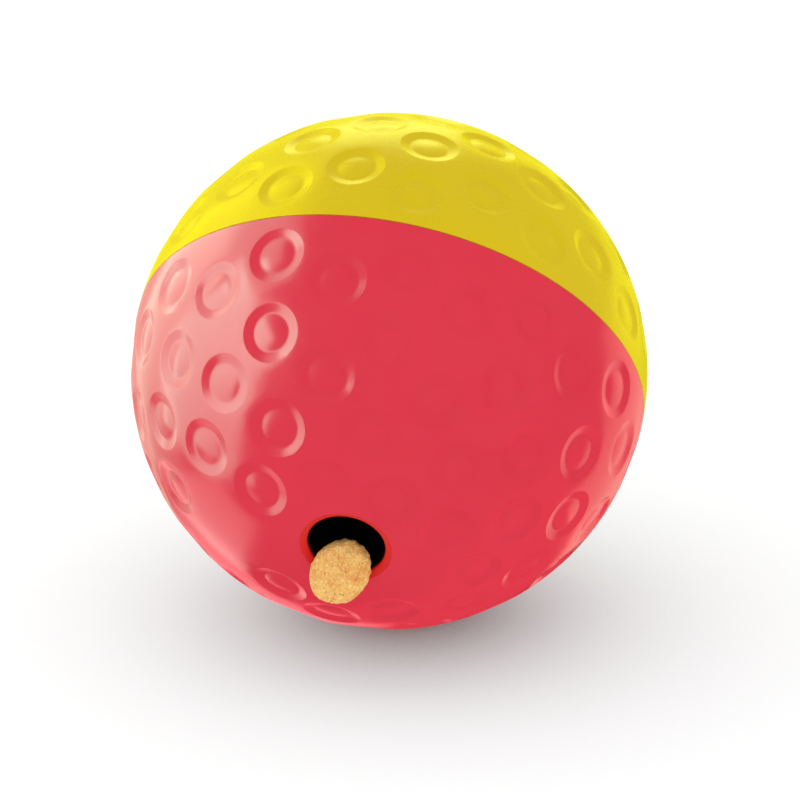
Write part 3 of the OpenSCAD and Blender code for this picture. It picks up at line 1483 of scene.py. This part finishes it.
@dataclass(frozen=True)
class Softbox:
    """One rectangular studio panel, seen only as a sheen on the ball.

    The yellow half sees each panel through a gel of its own.

    Attributes:
        name: Name of the panel.
        azimuth: Where it stands, from 0 at the front round to the right, in degrees.
        elevation: How high its middle stands, in degrees.
        span: How wide and how high it looks from the ball, in degrees.
        glow: How bright it is.
        colour: Its colour.
        on_yellow: Its colour on the yellow half.
        roll: How far it is turned in its own plane, in degrees.
        fade: How much dimmer its lower edge is than its upper one, as a share.
        distance: How far it stands from the ball, in metres.
    """

    name: str
    azimuth: float
    elevation: float
    span: tuple[float, float]
    glow: float
    colour: Colour = (0.45, 1.0, 0.82)
    on_yellow: Colour = (0.94, 1.0, 0.02)
    roll: float = 0.0
    fade: float = 0.0
    distance: float = 1.2

    def dim_downwards(self, data: bpy.types.AreaLight) -> None:
        """Makes a lamp of the panel dimmer towards its lower edge.

        Args:
            data: The lamp's data.
        """
        data.use_nodes = True
        tree = data.node_tree
        place = tree.nodes.new("ShaderNodeNewGeometry").outputs["Parametric"]
        parts = tree.nodes.new("ShaderNodeSeparateXYZ")
        tree.links.new(place, parts.inputs["Vector"])
        scale = tree.nodes.new("ShaderNodeMapRange")
        scale.inputs["To Min"].default_value = 1 - self.fade
        tree.links.new(parts.outputs["Y"], scale.inputs["Value"])
        tree.links.new(scale.outputs["Result"], tree.nodes["Emission"].inputs["Strength"])

    def lamp(self, aim: Vector, colour: Colour, yellow: Object, state: str) -> None:
        """Places one lamp of the panel.

        Args:
            aim: The point that it faces, in metres.
            colour: The lamp's colour.
            yellow: The yellow half.
            state: INCLUDE to light that half alone, EXCLUDE to light all the rest.
        """
        data = bpy.data.lights.new(self.name, "AREA")
        data.shape = "RECTANGLE"
        data.size, data.size_y = (2 * self.distance * math.tan(math.radians(a / 2)) for a in self.span)
        data.energy = self.glow * math.pi * data.size * data.size_y
        data.color = colour
        if self.fade:
            self.dim_downwards(data)
        lamp = bpy.data.objects.new(self.name, data)
        back = View.backwards(self.azimuth, self.elevation)
        lamp.location = aim + back * self.distance
        lamp.rotation_mode = "QUATERNION"
        lamp.rotation_quaternion = (-back).to_track_quat("-Z", "Y") @ turn(self.roll, "Z").to_quaternion()
        lamp.visible_camera = lamp.visible_diffuse = False
        bpy.context.scene.collection.objects.link(lamp)
        group = bpy.data.collections.new(self.name)
        group.objects.link(yellow)
        group.collection_objects[0].light_linking.link_state = state
        lamp.light_linking.receiver_collection = group

    def build(self, aim: Vector, yellow: Object) -> None:
        """Places the panel's two lamps."""
        self.lamp(aim, self.on_yellow, yellow, "INCLUDE")
        self.lamp(aim, self.colour, yellow, "EXCLUDE")


@dataclass(frozen=True)
class View:
    """The camera.

    Attributes:
        azimuth: Where it stands, from 0 at the front round to the right, in degrees.
        elevation: How high it looks from, in degrees.
        distance: Distance from the ball's middle, in millimetres.
        lens: Focal length in millimetres, on a sensor of 36 mm.
        right: How far the picture's middle lies to the right of the ball's, in millimetres.
        down: How far it lies below the ball's, in millimetres.
        clip: The nearest and the farthest that it shows, in metres.
    """

    azimuth: float = 14.0
    elevation: float = 20.5
    distance: float = 952.5
    lens: float = 174.1
    right: float = 2.63
    down: float = 7.09
    clip: tuple[float, float] = (0.01, 100.0)

    @staticmethod
    def backwards(azimuth: float, elevation: float) -> Vector:
        """Direction from the ball to something that stands at these angles."""
        a, e = math.radians(azimuth), math.radians(elevation)
        return Vector((math.sin(a) * math.cos(e), -math.cos(a) * math.cos(e), math.sin(e)))

    def build(self, ball: Ball) -> None:
        """Places the camera and makes it the scene's.

        Args:
            ball: The ball that it looks at.
        """
        back = self.backwards(self.azimuth, self.elevation)
        a = math.radians(self.azimuth)
        right = Vector((math.cos(a), math.sin(a), 0))
        up = back.cross(right)
        data = bpy.data.cameras.new("photo_camera")
        data.lens = self.lens
        data.clip_start, data.clip_end = self.clip
        camera = bpy.data.objects.new("photo_camera", data)
        camera.location = (ball.centre + right * self.right - up * self.down + back * self.distance) * MM
        camera.rotation_mode = "QUATERNION"
        camera.rotation_quaternion = (-back).to_track_quat("-Z", "Y")
        bpy.context.scene.collection.objects.link(camera)
        bpy.context.scene.camera = camera


@dataclass
class Studio:
    """Pale floor, an even white surround and panels that show in the ball's gloss.

    Attributes:
        ball: The ball that stands in it.
        panels: The panels, from the left round the back to the right.
        surround: Strength of the surround.
        floor_half: Half the floor's width, in metres.
        floor_colour: Colour of the floor.
        floor_rough: Its roughness.
        floor_sheen: Strength of its reflections.
        floor_glow: Strength of the floor's own light, which the ball's nearness dims.
        shade_reach: How far the ball dims the floor, in metres.
        shade_power: How steeply it does.
        shade_from: Azimuth and elevation of the side that the floor's light comes from, in degrees.
    """

    ball: Ball
    panels: tuple[Softbox, ...] = (
        Softbox("left_box", -71.0, 2.0, (48.0, 64.0), 8.3, roll=-18.0, fade=0.61),
        Softbox(
            "left_wing", -112.0, 0.0, (38.0, 64.0), 5.6, (0.72, 1.0, 0.78), (0.62, 0.66, 0.013), fade=0.9
        ),
        Softbox("left_top", -101.0, 45.0, (60.0, 26.0), 2.8, on_yellow=(0.9, 0.95, 0.02)),
        Softbox("left_floor", -98.0, -43.0, (44.0, 22.0), 1.35, (1.3, 1.0, 0.88)),
        Softbox("back_floor", -140.0, -42.0, (36.0, 20.0), 0.5, (2.0, 0.9, 0.9)),
        Softbox("back_wall", -156.0, 4.0, (62.0, 70.0), 0.8, (1.4, 1.0, 0.8), (1.65, 1.7, 0.05)),
        Softbox("back_top", -166.0, 30.0, (24.0, 28.0), 2.3, on_yellow=(0.86, 1.0, 0.4)),
        Softbox("right_wall", 155.0, 8.0, (46.0, 44.0), 0.6, (1.0, 0.15, 0.15), (1.0, 1.0, 0.03)),
        Softbox("right_low", 146.0, -20.0, (46.0, 46.0), 1.0, (1.45, 0.76, 0.62)),
        Softbox("right_floor", 150.0, -60.0, (100.0, 40.0), 0.95, (0.8, 0.05, 0.075)),
    )
    surround: float = 1.0
    floor_half: float = 3.0
    floor_colour: Colour = (0.12, 0.12, 0.12)
    floor_rough: float = 0.9
    floor_sheen: float = 0.1
    floor_glow: float = 0.97
    shade_reach: float = 0.112
    shade_power: float = 0.66
    shade_from: tuple[float, float] = (-66.0, 81.0)

    def floor(self) -> None:
        """Lays the floor just under the ball, as stage."""
        w = self.floor_half
        mesh = bpy.data.meshes.new("floor")
        mesh.from_pydata([(-w, -w, 0), (w, -w, 0), (w, w, 0), (-w, w, 0)], [], [(0, 1, 2, 3)])
        made = bpy.data.objects.new("floor", mesh)
        bpy.context.scene.collection.objects.link(made)
        s = Shade("pale_floor")
        lean = s.node("ShaderNodeCombineXYZ")
        for axis, value in zip(lean.inputs, View.backwards(*self.shade_from)):
            axis.default_value = value
        occlusion = s.node("ShaderNodeAmbientOcclusion", Distance=self.shade_reach)
        s.link(lean.outputs[0], occlusion.inputs["Normal"])
        dim = s.node("ShaderNodeMath", operation="POWER")
        s.link(occlusion.outputs["AO"], dim.inputs[0])
        dim.inputs[1].default_value = self.shade_power
        glow = s.span(dim.outputs[0], 0.0, 1.0, 0.0, self.floor_glow)
        s.set(Base_Color=(*self.floor_colour, 1), Emission_Color=(1, 1, 1, 1), Emission_Strength=glow)
        s.set(Roughness=self.floor_rough, Specular_IOR_Level=self.floor_sheen)
        mesh.materials.append(s.material)
        made.visible_glossy = made.visible_diffuse = False

    def build(self, yellow: Object) -> None:
        """Sets up the surround, the floor and the panels.

        Args:
            yellow: The yellow half, which has gels of its own.
        """
        scene = bpy.context.scene
        scene.view_settings.view_transform = "Standard"
        world = bpy.data.worlds.new("surround")
        world.use_nodes = True
        ground = world.node_tree.nodes["Background"]
        ground.inputs["Color"].default_value = (1, 1, 1, 1)
        ground.inputs["Strength"].default_value = self.surround
        scene.world = world
        world.cycles_visibility.glossy = False
        self.floor()
        for panel in self.panels:
            panel.build(self.ball.centre * MM, yellow)
            LOG.info("%s", panel.name)


def main() -> None:
    """Builds the pieces in order, then the studio and the camera."""
    logging.basicConfig(level=logging.INFO, format="%(name)s: %(message)s")
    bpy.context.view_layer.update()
    ball = Ball()
    lock = TwistLock(ball)
    dough = BakedDough().material()
    RedHalf(ball, lock).build(RED_PLASTIC.at_mouth(ball))
    yellow = YellowHalf(ball, lock).build(YELLOW_PLASTIC.material())
    TreatChute(ball).build(BLACK_PLASTIC.material())
    LeavingBiscuit(ball, Biscuit()).build(dough)
    LooseFill(ball, Biscuit(rings=36, count=64)).build(dough)
    Studio(ball).build(yellow)
    View().build(ball)


if __name__ == "__main__":
    main()
